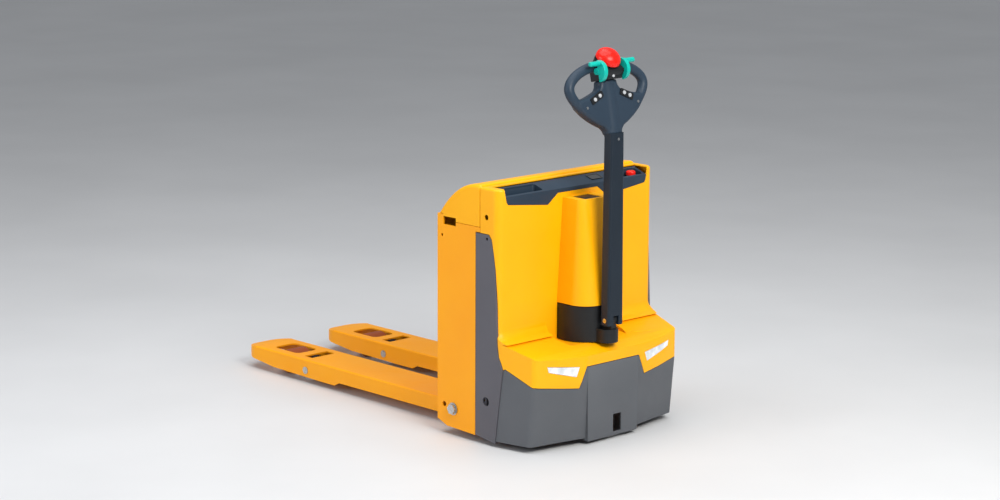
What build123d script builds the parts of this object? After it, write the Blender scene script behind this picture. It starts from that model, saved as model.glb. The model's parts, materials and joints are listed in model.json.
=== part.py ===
"""Electric pallet truck: one STEP file per sub-part, millimetres.

+X points to the tiller end, the forks reach towards -X, +Y is the truck's left seen from the tiller,
+Z is up and z = 0 is the floor. Sizes are set out from the fork backrest (x = 0); the finished parts
are moved along X so that the origin is under the middle of the whole truck.
"""
import os
from math import asin, atan2, cos, degrees, radians, sin, sqrt

from build123d import *

# ---------------------------------------------------------------- overall sizes
fork_length = 1150.0
fork_width = 172.0
fork_spread = 540.0
fork_top = 85.0
body_width = 720.0
lift_height = 122.0
skirt_front = 460.0
pole_front = 470.0
tower_top = 851.0

# clearances
panel_gap = 2.0
run_gap = 0.05
free_gap = 0.4

half_body = body_width / 2
fork_centre = (fork_spread - fork_width) / 2
x_shift = (fork_length - pole_front) / 2

# ---------------------------------------------------------------- fork and load roller
fork_plate = 5.0
fork_flange = 6.0
fork_end = 46.0
fork_seat = 1.5
fork_bottom = 33.0
tip_bottom = 20.0
tip_length = 510.0
nose_radius = 62.0
nose_rise = 34.0
window_length = 136.0
window_width = 96.0
slot_length = 44.0
slot_width = 106.0
slot_offset = 25.0
roller_radius = 42.5
roller_width = 84.0
roller_setback = 193.0
roller_x = -fork_length + roller_setback
roller_axle_radius = 9.0
rocker_spacing = 158.0
rocker_x = roller_x + rocker_spacing
slot_x = rocker_x - slot_offset
rocker_z = 46.0
rocker_plate = 9.0
rocker_height = 26.0
rocker_pin_radius = 10.0
rocker_boss_radius = 17.0
lug_radius = 24.0
lug_pin_radius = 5.0
lug_plate = 12.0

# lift linkage: the rocker's turn follows from the lift, the crank's from its own long arm
rocker_arm = sqrt((roller_x - rocker_x) ** 2 + (roller_radius - rocker_z) ** 2)
rocker_rest = asin((rocker_z - roller_radius) / rocker_arm)
rocker_turn = asin((rocker_z - roller_radius + lift_height) / rocker_arm) - rocker_rest
rod_stroke = 2 * lug_radius * sin(rocker_turn / 2)
rod_z = rocker_z + lug_radius
rod_radius = 6.0
crank_x = 77.0
crank_long = 130.0
crank_half = asin(lift_height / 2 / crank_long)
crank_short = rod_stroke / 2 / sin(crank_half)
crank_z = rod_z + crank_short
crank_plate = 12.0
crank_boss_radius = 16.0
shaft_radius = 10.0
link_pin_radius = 8.0
link_slot_play = 2.0
eye_play = 0.5
eye_side_play = 0.6

# ---------------------------------------------------------------- battery carriage
box_depth = 182.0
box_plate = 6.0
box_seam = 719.0
box_floor = 205.0
box_rear_top = 740.0
box_foot = 24.0
box_heel = 47.0
lid_front = 203.0
lid_top = 857.0
lid_wall = 4.0
lid_round = 14.0
lid_pin_radius = 4.0
lid_pin_inset = 9.0
lid_pin_length = body_width - 160
grip_start = 28.0
grip_end = 88.0
grip_low = 706.0
grip_high = 733.0
battery_height = 470.0
battery_gap = 6.0

# ---------------------------------------------------------------- chassis
strip_start = 184.0
strip_top = 700.0
strip_plate = 8.0
bulkhead_x = 222.0
bulkhead_plate = 6.0
wheel_way = 92.0
castor_plate_end = 328.0
drive_x = 325.0
drive_plate_z = 255.0
drive_plate = 12.0
drive_plate_half = 118.0
bearing_radius = 74.0
castor_x = 333.0
castor_inset = 114.0
castor_y = half_body - castor_inset
castor_plate_z = 150.0
castor_plate = 8.0
castor_radius = 50.0
castor_width = 36.0
castor_trail = 30.0
castor_stem_radius = 10.0
rail_inset = 57.0
rail_y = half_body - rail_inset
rail_back = 216.0
rail_start = 188.0
pad_half = 5.5
cylinder_x = 200.0
cylinder_radius = 18.0
lift_rod_radius = 11.0

# ---------------------------------------------------------------- hood, tray and skirt
tower_back = 205.0
tower_front = 288.0
tower_corner = 27.0
hood_wall = 4.0
shelf_back_z = 352.0
shelf_front_z = 318.0
shelf_fillet = 38.0
cove_steps = 6
seam_high = 264.0
seam_low = 195.0
seam_corner = 221.0
tab_half_top = 121.0
tab_half_low = 152.0
skirt_wall = 5.0
skirt_low = 12.0
wing_low = 22.0
tray_start = 226.0
tray_wall = 4.0
tray_floor = 812.0
tray_back_z = 846.0
tray_front_z = 824.0
pocket_start = 150.0
left_pocket_start = 216.0
pocket_inset = 42.0
pocket_end = half_body - pocket_inset
stop_x = 256.0
stop_inset = 76.0
stop_y = half_body - stop_inset
stop_radius = 16.0
stop_travel = 5.0
key_x = 258.0
key_y = 184.0
display_x = 252.0
display_y = 112.0
column_low = 447.0
column_top = 795.0
column_wall = 4.0

# ---------------------------------------------------------------- drive unit and tiller
wheel_radius = 115.0
wheel_width = 70.0
tyre_depth = 22.0
axle_radius = 15.0
motor_radius = 74.0
boot_radius = 96.0
boot_wall = 5.0
boot_low = 326.0
boot_high = 445.0
nose_x = 432.0
foot_radius = 35.0
foot_top = 371.0
tiller_x = 450.0
tiller_z = 402.0
tiller_pin_radius = 8.0
pole_lean = 0.0
pole_half_width = 35.0
pole_half_top = 29.0
pole_depth = 40.0
pole_wall = 4.0
pole_bottom = -16.0
pole_top = 618.0
lug_half = 11.6
lug_gap = 0.4
lug_height = 14.0
dish_radius = 146.0
head_lean = 12.5
head_back = 9.0
head_rise = 7.0
head_origin = (pole_front - head_back, tiller_z + pole_top + head_rise)
head_thickness = 42.0
head_split = 20.0
head_wall = 4.0
head_top = 166.0
tongue_width = 52.0
tongue_depth = 24.0
tongue_length = 50.0
head_tongue_gap = 10.0
grip_radius = 17.0
grip_depth = 17.0
housing_half = 42.0
drum_radius = 23.0
wing_out = 8.0
wing_up = 196.0
wing_radius = 36.0
wing_start = 44.5
wing_end = 62.0
lug_end = 102.0
wing_turn = 30.0
control_shaft_radius = 5.0
belly_out = 5.0
belly_up = 231.0
belly_travel = 6.0
dome_radius = 42.0
dome_height = 33.0
base_across = 68.0
base_up = 113.0
base_turn = 24.0
base_length = 60.0
base_width = 22.0
button_radius = 6.5
button_pitch = 26.0
button_travel = 2.0
horn_up = 176.0
screw_radius = 4.5
screw_across = 117.0
screw_up = 84.0


# ---------------------------------------------------------------- helpers
def block(x0, x1, y0, y1, z0, z1):
    """Box between two corners."""
    return Pos((x0 + x1) / 2, (y0 + y1) / 2, (z0 + z1) / 2) * Box(x1 - x0, y1 - y0, z1 - z0)


def rod_y(x, z, radius, y0, y1):
    """Round bar along Y."""
    return Pos(x, (y0 + y1) / 2, z) * Rot(90, 0, 0) * Cylinder(radius, y1 - y0)


def rod_z_axis(x, y, radius, z0, z1):
    """Round bar along Z."""
    return Pos(x, y, (z0 + z1) / 2) * Cylinder(radius, z1 - z0)


def side_prism(points, y0, y1):
    """Polygon in the XZ plane, extruded along Y."""
    face = make_face(Plane.XZ * Polyline(*points, close=True))
    return Pos(0, y1, 0) * extrude(face, amount=y1 - y0, dir=(0, -1, 0))


def front_prism(points, x0, x1):
    """Polygon in the YZ plane, extruded along X."""
    face = make_face(Plane.YZ * Polyline(*points, close=True))
    return Pos(x0, 0, 0) * extrude(face, amount=x1 - x0, dir=(1, 0, 0))


def outline(points, radii, z):
    """Plan polygon at height z whose corners are rounded where a radius is given."""
    face = make_face(Polyline(*points, close=True))
    corners = face.vertices()
    for (x, y), radius in zip(points, radii):
        if radius > 0:
            corner = min(face.vertices(), key=lambda v: (v.X - x) ** 2 + (v.Y - y) ** 2)
            face = fillet(corner, radius)
    return Pos(0, 0, z) * face


def mirrored(shape):
    """The same shape on the other side of the truck."""
    return mirror(shape, about=Plane.XZ)


def both_sides(shape):
    """A shape and its mirror image as one group."""
    return [shape, mirrored(shape)]


def write(name, shape):
    """Move a sub-part to the truck's origin and write it as one STEP file."""
    solids = []
    for item in shape if isinstance(shape, list) else [shape]:
        solids.extend(item.solids())
    moved = [Pos(x_shift, 0, 0) * solid for solid in solids]
    part = moved[0] if len(moved) == 1 else Compound(children=moved)
    part.label = name
    export_step(part, f"parts/{name}.step")


# ---------------------------------------------------------------- forks
def fork_envelope(inset):
    """Outer shape of one fork about y = 0, or its hollow when inset is given."""
    half = fork_width / 2 - (fork_flange if inset else 0)
    start = -fork_length + (fork_flange * 2 if inset else 0)
    top = fork_top - (fork_plate if inset else 0)
    radius = nose_radius - (fork_flange if inset else 0)
    end = fork_end + 1 if inset else fork_end
    plan = [(start, -half), (end, -half), (end, half), (start, half)]
    body = extrude(outline(plan, [radius, 0, 0, radius], 0), amount=top)
    drop = -40.0 if inset else 0
    bottom = [
        (start - 1, fork_top - nose_rise + drop),
        (start + 40, fork_top - nose_rise - 12 + drop),
        (-fork_length + 170, tip_bottom + 5 + drop),
        (-fork_length + 430, tip_bottom + drop),
        (-fork_length + tip_length, tip_bottom + drop),
        (-fork_length + tip_length + 24, fork_bottom + drop),
        (end + 1, fork_bottom + drop),
    ]
    profile = bottom + [(end + 1, top), (-fork_length + 70, top), (start - 1, top - 9)]
    return body & side_prism(profile, -half - 1, half + 1)


def fork(side):
    """One fork: a closed-nose channel, open underneath, with its roller window and rod slot."""
    outer = fork_envelope(False)
    top_edges = outer.edges().filter_by(lambda e: e.center().Z > fork_top - 3 and e.length > 60)
    outer = fillet(top_edges.filter_by(Axis.X), 6)
    beam = outer - fork_envelope(True)
    window = Pos(roller_x, 0, fork_top) * Box(window_length, window_width, 30)
    window = fillet(window.edges().filter_by(Axis.Z), 22)
    slot = Pos(slot_x, 0, fork_top) * Box(slot_length, slot_width, 30)
    slot = fillet(slot.edges().filter_by(Axis.Z), 4)
    beam = beam - window - slot
    beam -= rod_y(rocker_x, rocker_z, rocker_pin_radius, -fork_width, fork_width)
    beam -= block(0, fork_end + 1, -fork_width, fork_width, fork_top - fork_seat, fork_top + 1)
    return Pos(0, side * fork_centre, 0) * beam


def fork_pins(side):
    """Rocker pivot pin with a flat head on each flange, and two stop pins behind it."""
    half = fork_width / 2
    pin = rod_y(rocker_x, rocker_z, rocker_pin_radius, -half - 1, half + 1)
    for end in (-1, 1):
        head = rod_y(rocker_x, rocker_z, rocker_pin_radius + 3, 0, 2.5)
        pin += Pos(0, end * (half + 1.25) - 1.25, 0) * head
    return Pos(0, side * fork_centre, 0) * pin


def rocker(side):
    """Rocker: two arms to the roller, a sleeve round the pivot pin and two lugs for the push rod."""
    tilt = degrees(rocker_rest)
    inner = roller_width / 2 + 2.5
    arms = []
    for end in (-1, 1):
        y0 = inner if end > 0 else -inner - rocker_plate
        arm = block(-rocker_arm, 0, y0, y0 + rocker_plate, -rocker_height / 2, rocker_height / 2)
        arm += rod_y(-rocker_arm, 0, rocker_height / 2, y0, y0 + rocker_plate)
        arms.append(arm)
    body = arms[0] + arms[1] + rod_y(0, 0, rocker_boss_radius, -inner - rocker_plate, inner + rocker_plate)
    body = Rot(0, tilt, 0) * body
    start = degrees(rocker_turn) / 2
    for end in (-1, 1):
        y0 = end * (rod_radius + 1.5 + lug_plate / 2) - lug_plate / 2
        lug = block(-8, 8, y0, y0 + lug_plate, 0, lug_radius) + rod_y(0, lug_radius, 8, y0, y0 + lug_plate)
        body += Rot(0, start, 0) * lug
    lug_z = cos(radians(start)) * lug_radius
    lug_x = sin(radians(start)) * lug_radius
    body -= block(-30, 30, -rod_radius - 1.5, rod_radius + 1.5, -30, 30)
    body += rod_y(lug_x, lug_z, lug_pin_radius, -rod_radius - 2, rod_radius + 2)
    body -= rod_y(0, 0, rocker_pin_radius + run_gap, -100, 100)
    body -= rod_y(-rocker_arm * cos(rocker_rest), rocker_arm * sin(rocker_rest) * -1,
                  roller_axle_radius, -100, 100)
    return Pos(rocker_x, side * fork_centre, rocker_z) * body


def roller_axle(side):
    """Axle pressed into the rocker's two arms."""
    reach = roller_width / 2 + 2.5 + rocker_plate
    return Pos(0, side * fork_centre, 0) * rod_y(roller_x, roller_radius, roller_axle_radius, -reach, reach)


def load_roller(side):
    """Load roller with chamfered rims and a plain bore."""
    half = roller_width / 2
    body = rod_y(roller_x, roller_radius, roller_radius, -half, half)
    body = chamfer(body.edges().filter_by(GeomType.CIRCLE), 3)
    body -= rod_y(roller_x, roller_radius, roller_axle_radius + run_gap, -half - 1, half + 1)
    return Pos(0, side * fork_centre, 0) * body


def push_rod(side):
    """Push rod with a slotted eye at each end, which leaves the pins room to rise."""
    front_pin = crank_x + rod_stroke / 2
    rear_pin = rocker_x + rod_stroke / 2
    bar = Pos((front_pin + rear_pin) / 2, 0, rod_z) * Rot(0, 90, 0) * Cylinder(rod_radius, front_pin - rear_pin - 24)
    rear_low = rocker_z + lug_radius * cos(rocker_turn / 2)
    front_high = crank_z - crank_short * cos(crank_half)
    for x, low, high in ((rear_pin, rear_low, rod_z), (front_pin, rod_z, front_high)):
        low -= lug_pin_radius + eye_play
        high += lug_pin_radius + eye_play
        bar += block(x - 14, x + 14, -rod_radius, rod_radius, low - 3, high + 3)
        bar -= block(x - lug_pin_radius - eye_side_play, x + lug_pin_radius + eye_side_play, -20, 20, low, high)
    return Pos(0, side * fork_centre, 0) * bar


def crank(side):
    """Crank on the cross shaft: a long arm to the chassis and two short arms to the push rod."""
    inner = rod_radius + 1.5
    outer = inner + 7
    tilt = -degrees(crank_half)
    body = rod_y(0, 0, crank_boss_radius, inner, outer + crank_plate)
    body += rod_y(0, 0, crank_boss_radius, -outer, -inner)
    long_arm = block(0, crank_long, outer, outer + crank_plate, -11, 11)
    long_arm += rod_y(crank_long, 0, 14, outer, outer + crank_plate)
    body += Rot(0, tilt, 0) * long_arm
    for y0 in (inner, -outer):
        arm = block(-7, 7, y0, y0 + 7, -crank_short, 0) + rod_y(0, -crank_short, 9, y0, y0 + 7)
        body += Rot(0, tilt, 0) * arm
    body += rod_y(sin(crank_half) * crank_short, -cos(crank_half) * crank_short, lug_pin_radius, -inner - 1, inner + 1)
    body += rod_y(cos(crank_half) * crank_long, sin(crank_half) * crank_long, link_pin_radius,
                  outer - 10, outer + crank_plate + 10)
    body -= rod_y(0, 0, shaft_radius, -40, 60)
    body = Pos(crank_x, fork_centre, crank_z) * body
    return body if side > 0 else mirrored(body)


def cross_shaft():
    """Cross shaft with a hexagon head outside each side plate."""
    reach = half_body + 2
    shaft = rod_y(crank_x, crank_z, shaft_radius, -reach, reach)
    for end in (-1, 1):
        washer = rod_y(crank_x, crank_z, 21, 0, 2.5)
        nut = Plane.XZ * RegularPolygon(18, 6)
        nut = extrude(nut, amount=9)
        shift = half_body + 0.6 if end > 0 else -half_body - 0.6
        shaft += Pos(0, shift if end > 0 else shift - 2.5, 0) * washer
        shaft += Pos(crank_x, shift + 11.5 if end > 0 else shift - 2.5, crank_z) * nut
    return shaft


# ---------------------------------------------------------------- battery carriage
def battery_box():
    """Welded box: side plates, backrest, floor, front posts and the tie bar that the cylinder lifts."""
    inner = half_body - box_plate
    plate = side_prism([
        (0, box_heel), (box_heel, 29), (box_depth, box_foot), (box_depth, strip_top + 3),
        (lid_front, strip_top + 3), (lid_front, box_seam), (grip_end, box_seam), (grip_end, grip_low),
        (grip_start, grip_low), (grip_start, box_rear_top), (0, box_rear_top),
    ], -half_body, -inner)
    plate -= rod_y(33, 101, 9, -half_body - 1, half_body)
    plate -= rod_y(22, 670, 5, -half_body - 1, half_body)
    plate -= rod_y(crank_x, crank_z, shaft_radius + run_gap, -half_body - 1, half_body)
    body = plate + mirrored(plate)
    back = block(0, box_plate, -inner, inner, box_heel, box_rear_top)
    for side in (-1, 1):
        y = side * fork_centre
        back -= block(-1, box_plate + 1, y - fork_width / 2, y + fork_width / 2, 0, fork_top - fork_seat)
    body += back
    body += block(box_plate, box_depth, -inner, inner, box_floor - box_plate, box_floor)
    for side in (-1, 1):
        low, high = sorted((side * (inner - 64), side * inner))
        body += block(box_depth - box_plate, box_depth, low, high, 130, 690)
        low, high = sorted((side * (fork_centre + fork_width / 2 + 10), side * (fork_centre + fork_width / 2 + 18)))
        body += block(box_plate, 120, low, high, fork_top - 20, box_floor - box_plate)
    body += block(box_depth - box_plate, box_depth, -inner + 64, inner - 64, 640, 690)
    body += block(box_depth, cylinder_x + 16, -26, 26, 652, 664)
    body -= rod_y(crank_x, crank_z, shaft_radius + 2, -inner + 1, inner - 1)
    return body


def battery():
    """Traction battery tray with its row of cell tops."""
    x0 = box_plate + battery_gap
    x1 = box_depth - box_plate - battery_gap
    half = half_body - box_plate - battery_gap
    case = block(x0, x1, -half, half, box_floor, box_floor + battery_height)
    case = fillet(case.edges().filter_by(Axis.Z), 6)
    cells = 12
    pitch = (2 * half - 30) / cells
    for index in range(cells):
        y = -half + 15 + pitch * (index + 0.5)
        case += block(x0 + 20, x1 - 20, y - pitch / 2 + 2, y + pitch / 2 - 2,
                      box_floor + battery_height - 1, box_floor + battery_height + 6)
        case += rod_z_axis((x0 + x1) / 2, y, 11, box_floor + battery_height + 5, box_floor + battery_height + 14)
    return case


def battery_connector():
    """Two-pole battery plug with its grip bar, on top of the cells."""
    z = box_floor + battery_height + 14
    body = block(60, 110, 180, 240, z, z + 30)
    body = fillet(body.edges().filter_by(Axis.Z), 5)
    grip = block(66, 104, 240, 248, z + 8, z + 22)
    return body + fillet(grip.edges().filter_by(Axis.X), 3)


def lid_profile(inset):
    """Side view of the lid; the inset version is the space inside it."""
    front = lid_front - inset
    top = lid_top - inset
    low = box_seam + 1.5 - inset * 3
    foot = box_rear_top + 2 - inset * 3
    rear = [(4.0 + inset, foot), (48 + inset * 0.8, 794 - inset * 0.8), (120 + inset * 0.4, 843 - inset),
            (front - 14, top)]
    path = Spline(*rear) + Line(rear[-1], (front, top)) + Line((front, top), (front, low))
    path += Line((front, low), (rear[0][0], low)) + Line((rear[0][0], low), rear[0])
    return make_face(Plane.XZ * path)


def lid_body(inset):
    """Lid block with its two long upper edges and its front edge rounded."""
    half = half_body - inset
    body = Pos(0, half, 0) * extrude(lid_profile(inset), amount=2 * half, dir=(0, -1, 0))
    rounded = [e for e in body.edges() if abs(abs(e.center().Y) - half) < 0.1 and e.center().Z > 790
               and e.center().X < lid_front - inset - 1]
    body = fillet(rounded, lid_round - inset)
    front = [e for e in body.edges() if abs(e.center().X - lid_front + inset) < 0.1 and e.center().Z > 790
             and e.length > 40]
    return fillet(front, lid_pin_inset - inset * 0.8)


def battery_lid():
    """Battery lid: a moulded shell with two knuckles on the hinge pin."""
    body = lid_body(0) - lid_body(lid_wall)
    body -= block(-10, grip_end, -half_body - 1, half_body + 1, 0, grip_high)
    body -= block(-10, grip_start, -half_body - 1, half_body + 1, 0, box_rear_top + panel_gap)
    x = lid_front - lid_pin_inset
    z = lid_top - lid_pin_inset
    side_wall = half_body - lid_wall
    body -= block(lid_front - lid_wall - 0.5, lid_front + 1, -side_wall, side_wall, box_seam - 20, lid_top - 20)
    for side in (-1, 1):
        post = side * (lid_pin_length / 2 - 3)
        body -= block(lid_front - lid_wall - 0.5, lid_front + 1, post - 8, post + 8, lid_top - 30, z + 3)
        low, high = sorted((side * 150, side * 200))
        body += block(x - 5, x + 5, low, high, z - 5, z + 6) + rod_y(x, z, 6.5, low, high)
        body -= rod_y(x, z, lid_pin_radius + run_gap, low - 1, high + 1)
    return body


def lid_hinge():
    """Hinge pin carried by two posts that stand on the box's front posts."""
    x = lid_front - lid_pin_inset
    z = lid_top - lid_pin_inset
    body = rod_y(x, z, lid_pin_radius, -lid_pin_length / 2, lid_pin_length / 2)
    for side in (-1, 1):
        low, high = sorted((side * (lid_pin_length / 2 - 6), side * lid_pin_length / 2))
        body += block(x - 20, x + 3, low, high, z - 70, z + 3)
        body += block(box_depth - box_plate - 5, box_depth - box_plate, low - 14, high + 14, 660, z - 60)
        body += block(box_depth - box_plate - 5, x + 3, low, high, z - 90, z - 60)
    return body


def guide_pads():
    """Four sliding pads on the carriage, inside the chassis rails."""
    pads = []
    for z in (190, 480):
        pad = block(box_depth, rail_back - 6 - free_gap * 3, rail_y - pad_half, rail_y + pad_half, z, z + 90)
        pads.extend(both_sides(fillet(pad.edges().filter_by(Axis.X), 2)))
    return pads


def lift_rod():
    """Piston rod that pushes the carriage's tie bar up."""
    return rod_z_axis(cylinder_x, 0, lift_rod_radius, drive_plate_z + 30, 652)


# ---------------------------------------------------------------- chassis
def strip_outline(grow):
    """Side view of the visible chassis strip; grow widens it for a panel gap."""
    points = [
        (strip_start - grow, 26 - grow), (277 + grow, 14 - grow), (309 + grow, seam_high - 3),
        (300 + grow, 285), (290 + grow, 304), (284 + grow, 345), (278 + grow, 480), (272 + grow, 590),
        (266 + grow, 640), (257 + grow, 684 + grow), (244 + grow, strip_top + grow),
        (strip_start - grow, strip_top + grow),
    ]
    return points


def chassis_frame():
    """Welded frame: side strips, bulkhead, drive plate, castor plates, rails and link brackets."""
    strip = side_prism(strip_outline(0), -half_body, -half_body + strip_plate)
    strip -= rod_y(233, 146, 15, -half_body - 1, half_body)
    strip -= rod_y(236, 686, 5, -half_body - 1, half_body)
    body = strip + mirrored(strip)
    inner = half_body - strip_plate
    body += block(bulkhead_x, bulkhead_x + bulkhead_plate, -inner, inner, 60, 690)
    body -= block(bulkhead_x - 1, bulkhead_x + bulkhead_plate + 1, -wheel_way, wheel_way, 0, drive_plate_z)
    back = bulkhead_x + bulkhead_plate
    body += block(back, drive_x + 105, -drive_plate_half, drive_plate_half, drive_plate_z,
                  drive_plate_z + drive_plate)
    body -= rod_z_axis(drive_x, 0, bearing_radius, drive_plate_z - 1, drive_plate_z + drive_plate + 1)
    for side in (-1, 1):
        low, high = sorted((side * (drive_plate_half), side * (drive_plate_half + 8)))
        body += block(back, castor_x + 60, low, high, castor_plate_z, drive_plate_z + drive_plate)
        low, high = sorted((side * (drive_plate_half + 8), side * castor_plate_end))
        body += block(back, castor_x + 40, low, high, castor_plate_z, castor_plate_z + castor_plate)
        body -= rod_z_axis(castor_x, side * castor_y, castor_stem_radius + run_gap, castor_plate_z - 1,
                           castor_plate_z + castor_plate + 1)
        for wall in (-1, 1):
            y = side * rail_y + wall * (pad_half + free_gap + 3)
            body += block(rail_start, rail_back, y - 3, y + 3, 70, 690)
        body += block(rail_back - 6, bulkhead_x, side * rail_y - 12, side * rail_y + 12, 70, 690)
        body += link_bracket(side)
    return body


def link_bracket(side):
    """Two ears on the bulkhead with level slots for the crank's link pin."""
    ears = None
    reach = crank_x + crank_long + link_pin_radius + 4
    start = crank_x + crank_long * cos(crank_half) - link_pin_radius - 8
    z = crank_z + crank_long * sin(crank_half)
    arm_y = side * (fork_centre + rod_radius + 8.5 + crank_plate / 2)
    for wall in (-1, 1):
        y = arm_y + wall * (crank_plate / 2 + 6)
        ear = block(start, bulkhead_x, y - 4, y + 4, z - 22, z + 22)
        ear -= block(start + 8 - link_slot_play, reach - 2, y - 5, y + 5,
                     z - link_pin_radius - link_slot_play, z + link_pin_radius + link_slot_play)
        ears = ear if ears is None else ears + ear
    return ears


def lift_cylinder():
    """Cylinder barrel with its gland, standing on a foot that is welded to the bulkhead."""
    barrel = rod_z_axis(cylinder_x, 0, cylinder_radius, drive_plate_z + 10, 470)
    barrel += rod_z_axis(cylinder_x, 0, cylinder_radius + 2, 455, 480)
    barrel -= rod_z_axis(cylinder_x, 0, lift_rod_radius + run_gap, drive_plate_z + 22, 481)
    return barrel + block(cylinder_x - 18, bulkhead_x, -24, 24, drive_plate_z, drive_plate_z + 10)


def plan_outline(inset, z, tuck):
    """Plan of the lower body; tuck draws its front wings in towards the bottom."""
    side = half_body - inset
    front = skirt_front - inset
    points = [
        (bulkhead_x + 12, -side), (300, -side + 3), (432 - tuck * 0.8 - inset * 0.9, -side + 27),
        (450 - tuck - inset, 125 - half_body), (front - tuck * 0.5, -118), (front - tuck * 0.5, 118),
        (450 - tuck - inset, half_body - 125), (432 - tuck * 0.8 - inset * 0.9, side - 27), (300, side - 3),
        (bulkhead_x + 12, side),
    ]
    radii = [0, 120, 24 - inset, 150, 120, 120, 150, 24 - inset, 120, 0]
    return outline(points, radii, z)


def lower_body(inset):
    """Outer envelope of skirt and shelf together: drafted below the seam, straight above it."""
    low = loft([plan_outline(inset, skirt_low - inset * 2, 24), plan_outline(inset, seam_corner, 0)], ruled=True)
    high = extrude(plan_outline(inset, seam_corner, 0), amount=220)
    return low + high


def shelf_profile(inset):
    """Side view of the shelf, sloping to a rounded front lip."""
    points = [
        (200, 60), (skirt_front + 20, 60), (skirt_front + 20, 290 - inset), (skirt_front - 12, 306 - inset),
        (drive_x + 96, shelf_front_z - inset), (tower_front, shelf_back_z - inset), (200, shelf_back_z - inset),
    ]
    return side_prism(points, -half_body - 5, half_body + 5)


def tower_outline(inset, z):
    """Plan of the tower at height z, grown where inset is negative."""
    half = half_body - inset
    front = tower_front - inset
    back = tower_back + max(inset, 0)
    radius = tower_corner - inset
    return outline([(back, -half), (front, -half), (front, half), (back, half)], [0, radius, radius, 0], z)


def cove(inset):
    """Hollow round at the foot of the tower, as a stack of thin tapered layers."""
    layers = []
    for index in range(cove_steps + 1):
        turn = radians(90 * index / cove_steps)
        layers.append(((1 - cos(turn)) * shelf_fillet, (1 - sin(turn)) * shelf_fillet))
    body = None
    for (low, wide), (high, narrow) in zip(layers, layers[1:]):
        z = shelf_back_z - inset
        lower = tower_outline(inset - wide, z + low - 4 * (low == 0))
        layer = loft([lower, tower_outline(inset - narrow, z + high)], ruled=True)
        body = layer if body is None else body + layer
    return body


def tower_body(inset):
    """Outer envelope of the tall part of the hood."""
    return extrude(tower_outline(inset, 200), amount=tower_top - inset - 200)


def hood_body(inset):
    """Tower and shelf joined, with the hollow round where the wall runs into the shelf."""
    far = half_body + 40
    trim = block(tower_back + inset, 600, -far, far, 100, 600)
    shelf = lower_body(inset) & shelf_profile(inset) & trim
    envelope = extrude(plan_outline(inset, 300, 0), amount=200) & trim
    body = tower_body(inset) + shelf + (cove(inset) & envelope)
    dish = rod_z_axis(drive_x, 0, dish_radius + inset, boot_low - panel_gap - inset, 420)
    body -= dish & block(tower_front - inset, 600, -far, far, 100, 600)
    if inset == 0:
        tops = [e for e in body.edges() if e.center().Z > tower_top - 0.5 and e.center().X > tower_back + 2]
        body = fillet(tops, 9)
    return body


def seam_region(grow):
    """Everything below the seam between the yellow shelf and the grey skirt."""
    far = half_body + 40
    front = [
        (-far, 0), (far, 0), (far, seam_corner + grow), (half_body - 31, seam_corner + grow),
        (tab_half_low + grow * 0.6, seam_low + grow), (tab_half_top + grow * 0.65, seam_high + grow),
        (-tab_half_top - grow * 0.65, seam_high + grow), (-tab_half_low - grow * 0.6, seam_low + grow),
        (31 - half_body, seam_corner + grow), (-far, seam_corner + grow),
    ]
    region = front_prism(front, 395, 560)
    wedge = [(278.5 - grow, 0), (600, 0), (600, seam_corner + grow), (424, seam_corner + grow),
             (317, seam_high + 3 + grow), (310.5 - grow, seam_high - 2 + grow), (278.5 - grow, 14)]
    for side in (-1, 1):
        low, high = sorted((side * (half_body - 35), side * far))
        region += side_prism(wedge, low, high)
    return region


def front_skirt():
    """Grey lower skirt: drafted wings, a proud centre panel and a small service opening."""
    shell = lower_body(0) - lower_body(skirt_wall)
    panel = front_prism([(-115, skirt_low), (115, skirt_low), (tab_half_top - 1, seam_high - 1),
                         (-tab_half_top + 1, seam_high - 1)], skirt_front - 26, skirt_front)
    panel -= front_prism([(-109, 0), (109, 0), (113, seam_high - 7), (-113, seam_high - 7)],
                         skirt_front - 40, skirt_front - 5)
    shell = shell & seam_region(0)
    far = half_body + 40
    shell -= block(200, 600, -far, -116, -20, wing_low)
    shell -= block(200, 600, 116, far, -20, wing_low)
    shell -= block(skirt_front - 40, skirt_front + 1, -108, 108, -1, seam_high - 8)
    shell = shell & block(276, 600, -far, far, -20, 600)
    shell += panel
    shell -= block(skirt_front - 40, skirt_front + 1, 2, 40, 24, 84)
    return shell


def motor_hood():
    """Moulded hood shell: tower, shelf, light pockets and the cut-outs for column, bracket and tray."""
    shell = hood_body(0) - hood_body(hood_wall)
    shell -= block(100, 600, -half_body - 40, half_body + 40, -100, 192)
    shell -= block(100, tower_back + hood_wall + 1, -half_body + hood_wall, half_body - hood_wall, 100, 840)
    strip = side_prism(strip_outline(panel_gap), -half_body - 1, -half_body + strip_plate + 1)
    shell = shell - strip - mirrored(strip)
    shell -= seam_region(panel_gap)
    shell -= block(100, bulkhead_x + 8, -half_body - 1, half_body + 1, 100, strip_top + panel_gap)
    shell -= rod_y(233, 756, 9, -half_body - 1, -half_body + 10)
    shell -= rod_y(233, 756, 9, half_body - 10, half_body + 1)
    shell -= tray_region(panel_gap * 0.5, tray_start - panel_gap)
    shell -= rod_z_axis(drive_x, 0, boot_radius + panel_gap, boot_low - 1.5, 450)
    shell -= rod_z_axis(drive_x, 0, motor_radius + panel_gap * 2, 290, 490)
    for side in (-1, 1):
        shell -= lens_body(side, 1.0)
    return shell


def lens_body(side, grow):
    """Light lens: a slanted quadrilateral plate let into the front."""
    points = [(side * (153 - grow), 268 + grow), (side * (284 + grow), 286 + grow),
              (side * (279 + grow), 268 - grow), (side * (166 - grow), 237 - grow)]
    plate = front_prism(points, skirt_front - 60, skirt_front + 10)
    depth = 2.0 if grow else 5.0
    layer = lower_body(0) - lower_body(depth + 4 * grow)
    return plate & layer


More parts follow.
